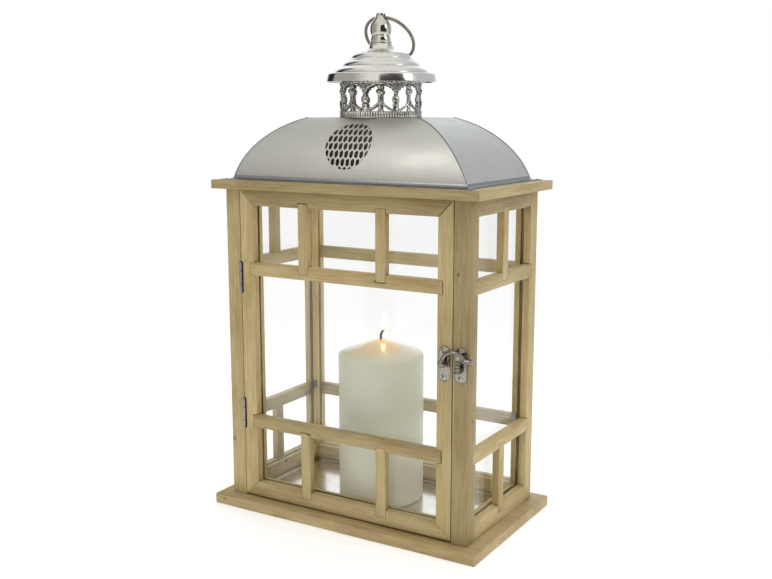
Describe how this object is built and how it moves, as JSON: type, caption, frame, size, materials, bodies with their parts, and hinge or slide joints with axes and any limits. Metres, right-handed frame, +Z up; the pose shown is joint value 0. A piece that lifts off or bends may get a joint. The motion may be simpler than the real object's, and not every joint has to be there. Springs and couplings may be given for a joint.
{
  "type": "hanging lantern",
  "caption": "Wooden hanging lantern with glass walls, a hinged latched door, a vented steel roof, a pierced collar, a stepped cap, a carrying ring and a pillar candle.",
  "frame": {"origin": "middle of the base board's underside", "axes": "+Z up; the door faces -Y and is hinged on its -X side; +X along the lantern's wide side"},
  "size_m": [0.276, 0.158, 0.4561],
  "materials": {
    "wood": "pale unvarnished softwood with a light grey-green stain",
    "roof_steel": "satin brushed",
    "cap_steel": "spun and lightly polished",
    "nickel": "polished nickel with darkened recesses",
    "latch_nickel": "antique nickel",
    "hinge_steel": "plain zinc plate, dulled",
    "galvanised": "galvanised sheet",
    "glass": "clear, polished",
    "wax": "ivory wax, satin",
    "wick": "charred cotton"
  },
  "bodies": {
    "frame": {"base_board": "wood", "floor_tray": "galvanised", "top_strip_front": "wood", "top_strip_back": "wood", "top_strip_left": "wood", "top_strip_right": "wood", "post_front_left": "wood", "post_front_right": "wood", "post_back_left": "wood", "post_back_right": "wood", "left_top_rail": "wood", "left_bottom_rail": "wood", "left_upper_bar": "wood", "left_lower_bar": "wood", "left_muntins": "wood", "right_top_rail": "wood", "right_bottom_rail": "wood", "right_upper_bar": "wood", "right_lower_bar": "wood", "right_muntins": "wood", "back_top_rail": "wood", "back_bottom_rail": "wood", "back_upper_bar": "wood", "back_lower_bar": "wood", "left_glass": "glass", "right_glass": "glass", "back_glass": "glass", "glass_clips": "hinge_steel", "upper_hinge_frame_leaf": "hinge_steel", "lower_hinge_frame_leaf": "hinge_steel", "hinge_pins": "hinge_steel", "hinge_frame_screws": "hinge_steel", "catch_plate": "latch_nickel", "catch_screws": "latch_nickel", "catch_stud": "latch_nickel", "roof": "roof_steel", "roof_screws": "hinge_steel", "collar": "nickel", "cap": "cap_steel", "finial": "nickel", "finial_bolt": "nickel"},
    "door": {"door_left_stile": "wood", "door_right_stile": "wood", "door_top_rail": "wood", "door_bottom_rail": "wood", "door_upper_bar": "wood", "door_lower_bar": "wood", "door_muntins": "wood", "door_glass": "glass", "upper_hinge_door_leaf": "hinge_steel", "lower_hinge_door_leaf": "hinge_steel", "hinge_door_screws": "hinge_steel", "latch_plate": "latch_nickel", "latch_screws": "latch_nickel", "latch_pivot": "latch_nickel"},
    "latch": {"latch_arm": "latch_nickel"},
    "ring": {"hanging_ring": "nickel"},
    "candle": {"candle": "wax", "wick": "wick"}
  },
  "joints": [
    {"name": "door_hinge", "type": "hinge", "parent": "frame", "child": "door", "pos_m": [-0.1096, -0.0678, 0.155], "axis": [0, 0, -1], "range_deg": [0, 170]},
    {"name": "latch_swing", "type": "hinge", "parent": "door", "child": "latch", "pos_m": [0.1022, -0.0722, 0.1668], "axis": [0, -1, 0], "range_deg": [0, 110]},
    {"name": "ring_swing", "type": "hinge", "parent": "frame", "child": "ring", "pos_m": [0, 0, 0.4525], "axis": [1, 0, 0], "range_deg": [0, 278]},
    {"name": "candle_lift", "type": "slide", "parent": "frame", "child": "candle", "axis": [0, 0, 1], "range_m": [0, 0.1]}
  ]
}
